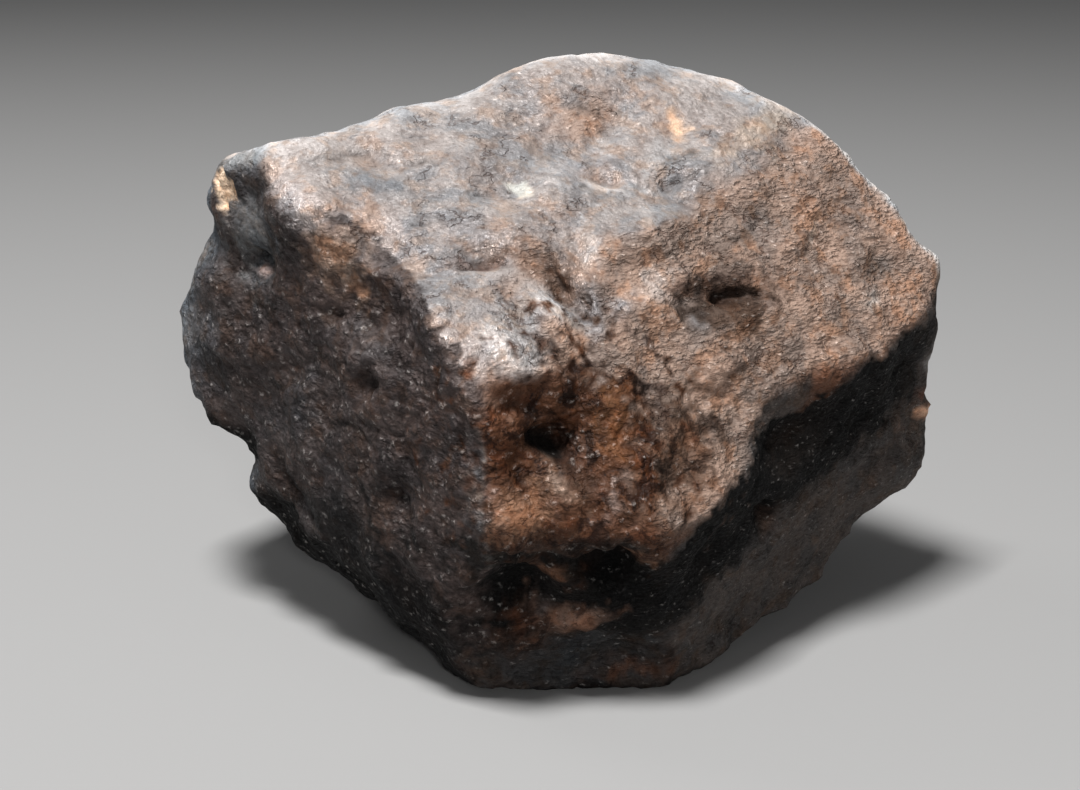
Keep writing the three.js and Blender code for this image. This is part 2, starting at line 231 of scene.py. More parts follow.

# Stains, worn places and broken ones on top of the zones, placed like the dents; some of them are painted
# shade and painted light instead, as marked. Share is how much of the tone and grain they take over, manner
# replaces that of the zones, and chip is how bare the rock is.
patches = [
    # painted sheen: the tip of the tongue is painted paler than its crust
    {"name": "tip of the tongue", "at": (-100, 15), "size": (5.2, 3.0), "turn": -50, "floor": 0.4,
     "tone": (0.55, 0.485, 0.45), "share": 0.9, "grain": 0.8, "manner": (0.95, 0.1, 0.0)},
    {"name": "rust of the lower front", "at": (-70, -7), "size": (10.0, 7.0), "turn": 0, "floor": 0.4,
     "tone": (0.11, 0.06, 0.038), "share": 0.85, "grain": 1.0, "manner": (0.6, 0.3, 0.8)},
    # rust, darkened further as painted shade round the pit
    {"name": "rust and painted shade round the deep pit", "at": (-33, 21), "size": (7.5, 4.0), "turn": -14,
     "tone": (0.12, 0.07, 0.048), "share": 0.9, "grain": 1.0, "manner": (0.5, 0.6, 0.5)},
    {"name": "grey of the bottom lip", "at": (-88, -48), "size": (13.0, 4.4), "turn": 0, "floor": 0.3,
     "tone": (0.040, 0.040, 0.041), "share": 0.9, "grain": 1.0, "manner": (0.7, 0.6, 0.2)},
    {"name": "slate horn", "at": (-167, 25), "size": (5.0, 4.2), "turn": 0,
     "tone": (0.17, 0.175, 0.18), "share": 0.85, "grain": 0.4},
    {"name": "slate round the end pit", "at": (-167, 18), "size": (3.2, 3.2), "turn": 0,
     "tone": (0.17, 0.18, 0.185), "share": 0.8, "grain": 0.8},
    {"name": "rose knob", "at": (-167, 17), "size": (1.2, 1.0), "turn": 0,
     "tone": (0.70, 0.50, 0.43), "share": 1.0, "grain": 0.6},
    {"name": "rust under the ridge", "at": (-144, 26), "size": (3.8, 4.5), "turn": -30,
     "tone": (0.38, 0.25, 0.18), "share": 0.85, "grain": 1.0},
    # a pale worn line along the keel's crest, painted paler still as a painted highlight
    {"name": "rubbed keel", "at": (-103.5, -8), "size": (0.5, 10.0), "turn": 2,
     "tone": (0.34, 0.33, 0.32), "share": 0.7, "grain": 1.0},
    {"name": "keel band", "at": (-105, -8), "size": (1.6, 9.0), "turn": 0,
     "tone": (0.10, 0.10, 0.105), "share": 0.7, "grain": 0.9},
    # dark crust under the lower left, painted darker still as painted shade
    {"name": "painted shade of the lower left", "at": (-146, -29), "size": (12.0, 4.0), "turn": -42,
     "tone": (0.012, 0.011, 0.011), "share": 0.85, "grain": 0.3},
    {"name": "nose rust", "at": (-90, -5), "size": (10.0, 9.5), "turn": 0, "floor": 0.6,
     "tone": (0.085, 0.034, 0.016), "share": 0.95, "grain": 1.0, "manner": (0.7, 0.1, 0.95)},
    {"name": "nose soot", "at": (-98, 2), "size": (5.5, 3.2), "turn": -20,
     "tone": (0.14, 0.06, 0.032), "share": 0.7, "grain": 1.0, "manner": (0.7, 0.1, 1.0)},
    # painted light where a small ledge on the nose faces the light
    {"name": "painted light on the nose ledge", "at": (-97, -14), "size": (4.5, 2.8), "turn": 0,
     "tone": (0.33, 0.18, 0.11), "share": 0.8, "grain": 1.0, "manner": (0.7, 0.2, 0.4)},
    {"name": "orange of the nose", "at": (-80, -1), "size": (2.4, 4.6), "turn": 10,
     "tone": (0.27, 0.11, 0.045), "share": 0.7, "grain": 1.0, "manner": (0.7, 0.2, 0.4)},
    # painted shade at the bottom of the nose pit
    {"name": "painted shade in the nose pit", "at": (-92, -5), "size": (3.4, 1.3), "turn": -36, "floor": 0.3,
     "tone": (0.006, 0.004, 0.003), "share": 1.0, "grain": 0.9, "manner": (0.3, 0.1, 0.0)},
    # a painted highlight streak beside the nose pit
    {"name": "pale spur", "at": (-90.5, -10.5), "size": (3.2, 0.9), "turn": -55,
     "tone": (0.40, 0.27, 0.20), "share": 0.7, "grain": 1.0, "manner": (0.8, 0.2, 0.0)},
    # dark crust of the left foot, painted darker still as painted shade
    {"name": "painted shade of the left foot", "at": (-122, -37), "size": (9.0, 8.0), "turn": 0, "floor": 0.3,
     "tone": (0.004, 0.0035, 0.0035), "share": 0.9, "grain": 0.9, "manner": (0.1, 0.2, 0.4)},
    # dark crust under the left keel, painted darker still as painted shade
    {"name": "painted shade of the left keel", "at": (-138, -28), "size": (7.0, 6.0), "turn": -40, "floor": 0.2,
     "tone": (0.010, 0.009, 0.009), "share": 0.8, "grain": 0.9, "manner": (0.3, 0.2, 0.4)},
    # painted shade in the two hollows of the foot
    {"name": "painted shade in the left foot hollow", "at": (-100, -32), "size": (6.4, 5.4), "turn": 0, "floor": 0.15,
     "tone": (0.002, 0.0018, 0.0016), "share": 1.0, "grain": 0.8, "manner": (0.0, 0.3, 0.4)},
    {"name": "painted shade in the right foot hollow", "at": (-80, -31), "size": (6.4, 5.2), "turn": 0, "floor": 0.15,
     "tone": (0.002, 0.0018, 0.0016), "share": 1.0, "grain": 0.8, "manner": (0.0, 0.3, 0.4)},
    {"name": "foot rust", "at": (-94, -27), "size": (3.4, 1.0), "turn": -10,
     "tone": (0.17, 0.08, 0.045), "share": 0.7, "grain": 1.0, "manner": (0.7, 0.6, 1.0)},
    {"name": "foot rust low", "at": (-87, -37), "size": (4.4, 1.5), "turn": 0,
     "tone": (0.24, 0.14, 0.10), "share": 0.8, "grain": 1.0, "manner": (0.7, 0.6, 1.0)},
    {"name": "foot rust right", "at": (-75, -24), "size": (2.2, 1.2), "turn": 0,
     "tone": (0.26, 0.13, 0.075), "share": 0.85, "grain": 1.0, "manner": (0.7, 0.6, 1.0)},
    {"name": "crown slate", "at": (-75, 73), "size": (6.0, 3.5), "turn": 10,
     "tone": (0.36, 0.345, 0.35), "share": 0.6, "grain": 0.4},
    {"name": "crown slate right", "at": (-22, 62), "size": (4.4, 3.0), "turn": 30,
     "tone": (0.42, 0.41, 0.41), "share": 0.7, "grain": 0.6},
    {"name": "crown slate left", "at": (-146, 44), "size": (7.5, 3.6), "turn": 10,
     "tone": (0.25, 0.24, 0.24), "share": 0.8, "grain": 0.6},
    {"name": "crown rose", "at": (-140, 60), "size": (7.0, 4.0), "turn": 0,
     "tone": (0.31, 0.255, 0.23), "share": 0.7, "grain": 0.5},
    {"name": "rust hollow of the crown", "at": (-159, 45), "size": (2.8, 1.8), "turn": 10,
     "tone": (0.34, 0.25, 0.20), "share": 0.7, "grain": 0.5},
    {"name": "rust over the brow", "at": (-106, 39), "size": (2.6, 1.2), "turn": 30,
     "tone": (0.33, 0.22, 0.165), "share": 0.6, "grain": 0.8},
    {"name": "rust of the brow", "at": (-113, 33.5), "size": (4.6, 1.0), "turn": 32,
     "tone": (0.24, 0.13, 0.09), "share": 0.75, "grain": 1.0},
    {"name": "rust of the crease", "at": (-97, 33), "size": (4.2, 0.9), "turn": -48,
     "tone": (0.20, 0.12, 0.085), "share": 0.75, "grain": 1.0},
    {"name": "rust beside the tongue", "at": (-90, 34), "size": (2.8, 5.0), "turn": 20,
     "tone": (0.19, 0.12, 0.085), "share": 0.85, "grain": 0.9},
    {"name": "pale ridge", "at": (-80, 42), "size": (1.2, 5.0), "turn": 0,
     "tone": (0.42, 0.40, 0.395), "share": 0.6, "grain": 0.5},
    # pale crust, painted paler still as painted light where the terrace faces up
    {"name": "pale terrace", "at": (-60, 29), "size": (2.8, 2.2), "turn": 30,
     "tone": (0.56, 0.49, 0.45), "share": 0.8, "grain": 0.7},
    {"name": "slate under the terrace", "at": (-51, 24), "size": (3.0, 2.2), "turn": -10,
     "tone": (0.22, 0.18, 0.16), "share": 0.5, "grain": 1.0},
    {"name": "grey streak", "at": (-70, 12), "size": (1.6, 6.0), "turn": 10,
     "tone": (0.22, 0.18, 0.16), "share": 0.5, "grain": 0.8},
    {"name": "pale blotch", "at": (-41, -1), "size": (2.2, 2.0), "turn": 0,
     "tone": (0.36, 0.27, 0.22), "share": 0.5, "grain": 0.9},
    {"name": "lip of the deep pit", "at": (-40, 18.0), "size": (5.6, 2.8), "turn": -12, "floor": 0.4,
     "tone": (0.085, 0.052, 0.036), "share": 0.95, "grain": 1.0, "manner": (0.3, 0.9, 0.3)},
    {"name": "shadowed pit", "at": (-32.5, 22.3), "size": (3.6, 1.2), "turn": -26,
     "tone": (0.03, 0.02, 0.016), "share": 0.85, "grain": 0.9},
    {"name": "dark stain of the shoulder", "at": (-18, 35), "size": (3.6, 1.8), "turn": 30,
     "tone": (0.20, 0.165, 0.145), "share": 0.5, "grain": 1.0},
    {"name": "dark stain at the tip", "at": (-1, 15), "size": (1.8, 1.8), "turn": 0,
     "tone": (0.15, 0.145, 0.14), "share": 0.7, "grain": 0.8},
    {"name": "pale streak", "at": (-7, 27), "size": (2.8, 0.7), "turn": 28,
     "tone": (0.64, 0.54, 0.46), "share": 0.7, "grain": 0.7},
    {"name": "pale streak at the tip", "at": (-7, 11), "size": (1.5, 0.8), "turn": 35,
     "tone": (0.66, 0.56, 0.49), "share": 0.75, "grain": 0.7},
    {"name": "tan rim", "at": (8, 47), "size": (7.0, 2.6), "turn": -30,
     "tone": (0.58, 0.45, 0.35), "share": 0.7, "grain": 0.6},
    {"name": "white flake", "at": (-113, 61), "size": (1.8, 0.9), "turn": -4, "floor": 0.45,
     "tone": (0.68, 0.62, 0.54), "share": 1.0, "grain": 0.4, "chip": 0.6},
    {"name": "orange flake", "at": (4, 62.5), "size": (2.3, 1.1), "turn": 28,
     "tone": (0.92, 0.62, 0.42), "share": 1.0, "grain": 0.4, "chip": 0.6},
    {"name": "broken left tip", "at": (-174, 28), "size": (2.2, 2.3), "turn": 8, "floor": 0.75,
     "tone": (0.94, 0.69, 0.49), "share": 1.0, "grain": 0.8, "chip": 1.0},
    {"name": "broken right tip", "at": (9, -12), "size": (1.6, 1.5), "turn": 0, "floor": 0.35,
     "tone": (0.85, 0.50, 0.33), "share": 1.0, "grain": 0.8, "chip": 1.0},
    {"name": "red of the right tip", "at": (8, -8.7), "size": (2.2, 1.1), "turn": 0,
     "tone": (0.16, 0.06, 0.035), "share": 0.8, "grain": 1.0},
    {"name": "grey flake at the right tip", "at": (7, -4.5), "size": (1.3, 2.4), "turn": 20,
     "tone": (0.34, 0.33, 0.32), "share": 0.7, "grain": 0.4, "chip": 1.0},
    {"name": "back rust", "at": (60, 5), "size": (8.0, 5.0), "turn": 40,
     "tone": (0.28, 0.15, 0.09), "share": 0.6, "grain": 1.0},
    {"name": "back slate", "at": (118, 20), "size": (8.0, 5.0), "turn": -30,
     "tone": (0.16, 0.155, 0.155), "share": 0.6, "grain": 0.7},
    {"name": "back flake", "at": (98, 20), "size": (1.6, 1.1), "turn": 20,
     "tone": (0.70, 0.52, 0.36), "share": 0.9, "grain": 0.5, "chip": 1.0},
    {"name": "back soot", "at": (100, -20), "size": (12.0, 5.0), "turn": 10,
     "tone": (0.035, 0.028, 0.025), "share": 0.6, "grain": 0.7},
]

def along(heading, pitch):
    h, p = math.radians(heading), math.radians(pitch)
    return Vector((math.cos(p) * math.cos(h), math.cos(p) * math.sin(h), math.sin(p)))


def smoothStep(low, high, value):
    t = min(1.0, max(0.0, (value - low) / (high - low)))
    return t * t * (3.0 - 2.0 * t)


def placeMark(mark, tree, heart):
    outward = along(*mark["at"])
    spot = tree.ray_cast(heart, outward)[0]
    east = Vector((0, 0, 1)).cross(outward).normalized()
    north = outward.cross(east)
    turn = math.radians(mark["turn"])
    lengthwise = east * math.cos(turn) + north * math.sin(turn)
    widthwise = north * math.cos(turn) - east * math.sin(turn)
    reach = max(mark["size"]) * stoneShape["rims"]["markReach"] * mm
    return mark, spot, lengthwise / (mark["size"][0] * mm), widthwise / (mark["size"][1] * mm), reach


def markShare(placed, point, ragged):
    # 1 in the middle of a mark, 0 from its rim on
    mark, spot, lengthwise, widthwise, reach = placed
    away = point - spot
    if away.length > reach:
        return 0.0
    rim = math.hypot(away.dot(lengthwise), away.dot(widthwise)) * (1.0 + ragged)
    return 1.0 - smoothStep(mark.get("floor", 0.0), 1.0, rim)


def placePath(line, tree, heart):
    spots = [tree.ray_cast(heart, along(*turn))[0] for turn in line["path"]]
    middle = sum(spots, Vector()) / len(spots)
    margin = stoneShape["rims"]["pathReach"] * line["reach"] * mm
    span = max((spot - middle).length for spot in spots) + margin
    return line, spots, middle, span, (middle - heart).normalized()


def besidePath(placed, point):
    # how far a point is from a path, how far on its right-hand side, and how far along it
    line, spots, middle, span, outward = placed
    nearest, below, travel = 1.0, 0.0, 0.0  # a metre stands for out of reach
    if (point - middle).length < span:
        for i in range(len(spots) - 1):
            step = spots[i + 1] - spots[i]
            t = min(1.0, max(0.0, (point - spots[i]).dot(step) / step.length_squared))
            away = point - spots[i] - step * t
            if away.length < nearest:
                nearest, travel = away.length, (i + t) / (len(spots) - 1)
                below = away.dot(step.cross(outward).normalized())
    return nearest / mm, below / mm, travel


def ledgeShare(placed, point, ragged):
    # 1 just below the lip, fading over the reach, 0 above the lip and past both ends
    rims = stoneShape["rims"]
    nearest, below, travel = besidePath(placed, point)
    across = below + rims["ledgeFray"] * ragged
    if across > 0:
        share = max(0.0, 1.0 - nearest / placed[0]["reach"]) ** rims["ledgeFall"]
    else:
        share = max(0.0, 1.0 + across / rims["ledgeLip"])
    ends = rims["ledgeEnds"]
    return share * smoothStep(0.0, ends, travel) * smoothStep(1.0, 1.0 - ends, travel)


def shoreShare(placed, point, ragged):
    # 1 on the covered side of the path, 0 on the other side and past the reach
    rims = stoneShape["rims"]
    nearest, below, travel = besidePath(placed, point)
    edge, reach, fade = rims["shoreEdge"], placed[0]["reach"], placed[0].get("fade", 0.0)
    share = smoothStep(-edge, edge, below + rims["shoreFray"] * ragged)
    share *= smoothStep(reach, rims["shoreHold"] * reach, nearest + rims["shoreFarFray"] * ragged)
    if fade:
        share *= smoothStep(1.0, 1.0 - fade, travel + rims["shoreEndFray"] * ragged)
    return share


def noiseAt(place, wave):
    return noise.noise(place / wave["across"] + Vector(wave.get("shift", (0, 0, 0))))


def above(value, limit):
    return max(0.0, value - limit)


def reliefAt(place, rough, bare):
    reliefs = stoneShape["reliefs"]
    lumps, knobs, wrinkles = reliefs["lumps"], reliefs["knobs"], reliefs["wrinkles"]
    warts, pocks, bareRock = reliefs["warts"], reliefs["pocks"], reliefs["bareRock"]
    flat = Vector((place.x, place.y, place.z / wrinkles["flat"]))
    always = knobs["always"]
    relief = lumps["height"] * noiseAt(place, lumps)
    relief += knobs["height"] * (always + (1.0 - always) * rough) * noiseAt(place, knobs)
    relief += wrinkles["height"] * rough * noiseAt(flat, wrinkles)
    relief += warts["height"] * rough * above(noiseAt(place, warts), warts["from"])
    relief -= pocks["height"] * rough * above(noiseAt(place, pocks), pocks["from"])
    relief += bare * bareRock["height"] * noiseAt(place, bareRock)
    return relief


def cutFiner(bm):
    # returns how far each point stands out from a worn-down copy, which tells ridges from hollows,
    # and the normal halfway between the two
    settle = {"factor": 0.5, "use_axis_x": True, "use_axis_y": True, "use_axis_z": True}
    bmesh.ops.remove_doubles(bm, verts=bm.verts[:], dist=stoneShape["weld"] * mm)
    bmesh.ops.recalc_face_normals(bm, faces=bm.faces[:])
    bmesh.ops.subdivide_edges(bm, edges=bm.edges[:], cuts=stoneShape["cuts"], use_grid_fill=True, smooth=1.0)
    for step in range(stoneShape["settle"]):
        bmesh.ops.smooth_vert(bm, verts=bm.verts[:], **settle)
    bm.normal_update()
    worn = bm.copy()
    for step in range(stoneShape["wearPasses"]):
        bmesh.ops.smooth_vert(worn, verts=worn.verts[:], **settle)
    worn.normal_update()
    edges, broadNormals = [], []
    for vert, wornVert in zip(bm.verts, worn.verts):
        edges.append((vert.co - wornVert.co).dot(vert.normal) / mm)
        broadNormals.append((vert.normal + wornVert.normal) * 0.5)
    worn.free()
    print("stone: cut into", len(bm.faces), "faces")
    return edges, broadNormals


def zoneLook(leaning, facings):
    # the zones' mix where the ground leans this way: tone with grain, and manner
    total, toneGrain, manner = 0.0, Vector((0, 0, 0, 0)), Vector()
    for facing, zoneTone, zoneManner in facings:
        share = math.exp(zoneFocus * (leaning.dot(facing) - 1.0))
        total += share
        toneGrain += share * zoneTone
        manner += share * zoneManner
    toneGrain /= total
    manner /= total
    return toneGrain, manner


def buildStone():
    bm = bmesh.new()
    bm.from_mesh(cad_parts["meteorite"].data)
    edges, broadNormals = cutFiner(bm)

    noise.seed_set(stoneShape["seed"])
    heart = Vector(stoneShape["heart"]) * mm
    tree = BVHTree.FromBMesh(bm)
    placedDents = [placeMark(mark, tree, heart) for mark in dents]
    placedPatches = [placeMark(patch, tree, heart) for patch in patches]
    placedLedges = [placePath(ledge, tree, heart) for ledge in ledges]
    placedShores = [placePath(shore, tree, heart) for shore in shores]
    facings = [(along(*zone["facing"]), Vector((*zone["tone"], zone["grain"])),
                Vector((zone["sheen"], zone["dash"], zone["soot"]))) for zone in zones]
    edgeLayer = bm.verts.layers.float.new("crustEdge")
    toneLayer = bm.verts.layers.float_color.new("crustTone")
    grainLayer = bm.verts.layers.float.new("crustGrain")
    mannerLayer = bm.verts.layers.float_color.new("crustManner")
    chipLayer = bm.verts.layers.float.new("crustChip")
    rims = stoneShape["rims"]
    paintedShade, paintedShadeAtLip = rims["ledgePaintedShade"]
    moves = []
    for vert, edge, broadNormal in zip(bm.verts, edges, broadNormals):
        place = vert.co / mm
        leaning = broadNormal.copy()
        for across, size in stoneShape["sways"]:
            leaning += noise.noise_vector(place / across) * size
        toneGrain, manner = zoneLook(leaning.normalized(), facings)
        bare = 0.0
        ragged = rims["fine"]["size"] * noiseAt(place, rims["fine"])
        ragged += rims["broad"]["size"] * noiseAt(place, rims["broad"])
        blotchy = rims["blotchy"] * ragged
        for placed in placedShores:
            shore = placed[0]
            share = shoreShare(placed, vert.co, blotchy) * shore["share"]
            if share:
                toneGrain = toneGrain.lerp(Vector((*shore["tone"], shore["grain"])), share)
                manner = manner.lerp(Vector(shore["manner"]), share)
        for placed in placedPatches:
            patch = placed[0]
            share = markShare(placed, vert.co, blotchy)
            if share:
                toneGrain = toneGrain.lerp(Vector((*patch["tone"], patch["grain"])), share * patch["share"])
                if "manner" in patch:
                    manner = manner.lerp(Vector(patch["manner"]), share)
                bare += (patch.get("chip", 0.0) - bare) * share
        cut = 0.0
        for placed in placedLedges:
            share = ledgeShare(placed, vert.co, ragged)
            if share:
                cut += placed[0]["depth"] * share
                # painted shade below the lip of each ledge
                toneGrain.xyz = toneGrain.xyz * (1.0 - paintedShade * share - paintedShadeAtLip * share ** 6)
        for placed in placedDents:
            frayed = ragged if placed[0]["depth"] > 0 else 0.0  # only hollows have a broken rim
            cut += placed[0]["depth"] * markShare(placed, vert.co, frayed)
        vert[edgeLayer] = edge
        vert[toneLayer] = (*toneGrain.xyz, 1.0)
        vert[grainLayer] = toneGrain.w
        vert[mannerLayer] = (*manner, 1.0)
        vert[chipLayer] = bare
        steady = 1.0 - stoneShape["crownWear"] * smoothStep(*stoneShape["crownSlope"], broadNormal.z)
        rise = steady * reliefAt(place, toneGrain.w, bare) + stoneShape["crisp"] * vert[edgeLayer] - cut
        drift = vert.normal * rise
        for across, size in stoneShape["warps"]:
            drift += noise.noise_vector(place / across + Vector(stoneShape["warpShift"])) * size * steady
        moves.append(drift * mm)
    for vert, move in zip(bm.verts, moves):
        vert.co += move
        vert.co.z = max(vert.co.z, 0.0)
    bm.normal_update()
    for face in bm.faces:
        face.smooth = True
    print("stone: relief worked in")

    mesh = bpy.data.meshes.new("stone")
    bm.to_mesh(mesh)
    bm.free()
    piece = bpy.data.objects.new("stone", mesh)
    bpy.context.collection.objects.link(piece)
    return piece


crustFinish = {
    # Noise textures of the crust. From here on scales are per metre, and sizes and heights are in metres.
    "textures": {
        "swirl": {"scale": 900.0, "detail": 4.0, "roughness": 0.65},
        "combs": {"scale": 1500.0, "detail": 3.0, "roughness": 0.6},
        "specks": {"scale": 3200.0, "detail": 3.0, "roughness": 0.7},
        "mottle": {"scale": 190.0, "detail": 5.0, "roughness": 0.62, "distortion": 0.4},
        "tint": {"scale": 420.0, "detail": 3.0, "roughness": 0.6},
        "blotches": {"scale": 330.0, "detail": 6.0, "roughness": 0.72, "distortion": 0.6},
        "calm": {"scale": 260.0, "detail": 3.0, "roughness": 0.6},
        "hairs": {"scale": 130.0, "detail": 5.0, "roughness": 0.62},
    },
    # Fields of grains: cells with a softer noise mixed in, tilted in degrees and squashed flat. Cells and
    # soft are the ranges of each that make the height of a grain.
    "grainFields": {
        "dashes": {"tilt": 20.0, "squash": 2.3, "scale": 1350.0, "cells": (0.75, 0.0),
                   "softNoise": {"scale": 945.0, "detail": 2.0, "roughness": 0.55, "distortion": 0.3},
                   "soft": (0.32, 0.68), "softShare": 0.45},
        "crumbs": {"tilt": -25.0, "squash": 1.3, "scale": 1250.0, "cells": (0.8, 0.1),
                   "softNoise": {"scale": 875.0, "detail": 2.0, "roughness": 0.55},
                   "soft": (0.3, 0.7), "softShare": 0.45},
    },
    # How each effect follows the value it is made from: where it starts, where it is full, and its
    # strength at both where that isn't 0 and 1.
    "ranges": {
        "slate": (0.42, 0.6, 0.0, 0.8),  # over the mottle
        "rust": (0.48, 0.64),  # over the tint
        "blotches": (0.5, 0.57),
        "hollows": (-0.05, -0.4, 0.0, 0.4),  # over the millimetres that a place stands out
        "ridges": (0.05, 0.4, 0.0, 0.5),
        "calm": (0.4, 0.6, 0.45, 1.0),
        "combRidges": (0.3, 0.7),
        "combs": (0.82, 1.0, 0.0, 0.7),  # over the sheen
        "glints": (0.5, 0.8),  # over the height of the grains
        "glintChance": (0.25, 1.0),
        "glintSpecks": (0.42, 0.6),
        "paleSpecks": (0.54, 0.7, 0.0, 0.4),
        "darkSpecks": (0.46, 0.3, 0.0, 0.5),
        "hairs": (0.012, 0.0),  # how far from the middle of a hairline
        "hairPlaces": (0.48, 0.58),  # over the mottle
        "bump": (0.2, 1.0, 0.15, 1.0),  # over the grain
        "roughness": (0.0, 1.0, 0.9, 0.42),  # over the sheen
        "speckRoughness": (0.35, 0.65, 0.15, -0.15),
        "film": (0.55, 1.0, 0.0, 0.30),  # how metallic the silvery film of the crown is, over the sheen
    },
    # A share that grows with a value: what it is at 0, and what each 1 adds.
    "shares": {
        "rust": (0.15, 0.65),  # with the grain
        "dashes": (0.05, 0.9),  # with the dash
        "paintedShade": (0.05, 0.5),  # with the grain
        "glints": (0.1, 0.9),  # with the grain
        "grit": (0.7, 0.3),  # with the chip
    },
    "swirlSize": 0.0010,  # how far the swirl carries the grains
    "combLie": (12.0, 0.3),  # tilt and squash
    "hairLie": (0.0, 1.7),  # tilt and squash
    "sootShare": 0.9,  # the most that a blotch of soot covers
    "grainShadeTop": (0.5, 0.3),  # height of the grain where the painted shade starts, for crumbs and for dashes
    "grainShadeFull": 0.1,  # and where it is full
    "hairMiddle": 0.5,  # a hairline runs where its noise has this value
    "hairShare": 0.55,  # the most that a hairline darkens the crust
    "sootTone": (0.14, 0.11, 0.10, 1.0),
    # darker: painted shade in the hollows and at the foot of each grain, and the dark specks
    "hollowTone": (0.30, 0.24, 0.21, 1.0),
    # tone added for the painted glints
    "glintTone": (0.22, 0.208, 0.197, 1.0),
    # lighter: pale wear and a painted highlight on the ridges, the painted glints and the pale specks
    "grainTone": (1.5, 1.5, 1.5, 1.0),
    "slateTone": (0.62, 0.70, 0.77, 1.0),
    "rustTone": (1.05, 0.84, 0.68, 1.0),
    "hairTone": (0.36, 0.22, 0.17, 1.0),
    "grainHeight": 0.00048,
    "hairDepth": 0.0001,
    "gritHeight": 0.00014,
    "specular": 0.16,
}


def addNode(tree, kind, **settings):
    node = tree.nodes.new(kind)
    for name, value in settings.items():
        setattr(node, name, value)
    return node


def feed(tree, node, inputs):
    for name, value in inputs.items():
        socket = node.inputs[name]
        if isinstance(value, bpy.types.NodeSocket):
            tree.links.new(value, socket)
        else:
            socket.default_value = value
    return node


def noiseTexture(tree, coords, look, output="Fac"):
    node = addNode(tree, "ShaderNodeTexNoise")
    feed(tree, node, {"Vector": coords, "Scale": look["scale"], "Detail": look["detail"],
                      "Roughness": look["roughness"], "Distortion": look.get("distortion", 0.0)})
    return node.outputs[output]


def spread(tree, value, low, high, toLow=0.0, toHigh=1.0):
    node = addNode(tree, "ShaderNodeMapRange", interpolation_type="SMOOTHSTEP")
    feed(tree, node, {"Value": value, "From Min": low, "From Max": high, "To Min": toLow, "To Max": toHigh})
    return node.outputs["Result"]


def reckon(tree, operation, *terms):
    node = addNode(tree, "ShaderNodeMath", operation=operation)
    feed(tree, node, dict(enumerate(terms)))
    return node.outputs[0]


def multiply(tree, first, *others):
    for other in others:
        first = reckon(tree, "MULTIPLY", first, other)
    return first


def growing(tree, value, share):
    base, part = share
    return reckon(tree, "ADD", base, reckon(tree, "MULTIPLY", value, part))


def mixValue(tree, share, a, b):
    node = addNode(tree, "ShaderNodeMix", data_type="FLOAT")
    feed(tree, node, {0: share, 2: a, 3: b})
    return node.outputs[0]


def blendColour(tree, share, a, b, blendType="MIX"):
    node = addNode(tree, "ShaderNodeMix", data_type="RGBA", blend_type=blendType)
    feed(tree, node, {0: share, 6: a, 7: b})
    return node.outputs[2]


def shade(tree, share, colour, by):
    # darker where by is below 1, lighter where it is above
    return blendColour(tree, share, colour, by, "MULTIPLY")


def readLayer(tree, name, output):
    layer = addNode(tree, "ShaderNodeAttribute", attribute_type="GEOMETRY", attribute_name=name)
    return layer.outputs[output]


def channels(tree, colour):
    node = addNode(tree, "ShaderNodeSeparateColor")
    feed(tree, node, {"Color": colour})
    return [node.outputs[name] for name in ("Red", "Green", "Blue")]


def squashed(tree, place, tilt, squash):
    flow = addNode(tree, "ShaderNodeMapping")
    feed(tree, flow, {"Vector": place, "Rotation": (0.0, math.radians(tilt), 0.0),
                      "Scale": (1.0, 1.0, squash)})
    return flow.outputs["Vector"]


def grainField(tree, place, swirled, field):
    # the height of the grains, and a chance number that each grain has for itself
    lie = (field["tilt"], field["squash"])
    cells = addNode(tree, "ShaderNodeTexVoronoi")
    feed(tree, cells, {"Vector": squashed(tree, swirled, *lie), "Scale": field["scale"]})
    soft = noiseTexture(tree, squashed(tree, place, *lie), field["softNoise"])
    height = mixValue(tree, field["softShare"], spread(tree, cells.outputs["Distance"], *field["cells"]),
                      spread(tree, soft, *field["soft"]))
    return height, channels(tree, cells.outputs["Color"])[0]


def bumped(tree, strength, distance, height, normal=None, invert=False):
    node = addNode(tree, "ShaderNodeBump", invert=invert)
    feed(tree, node, {"Strength": strength, "Distance": distance, "Height": height})
    if normal is not None:
        tree.links.new(normal, node.inputs["Normal"])
    return node.outputs["Normal"]


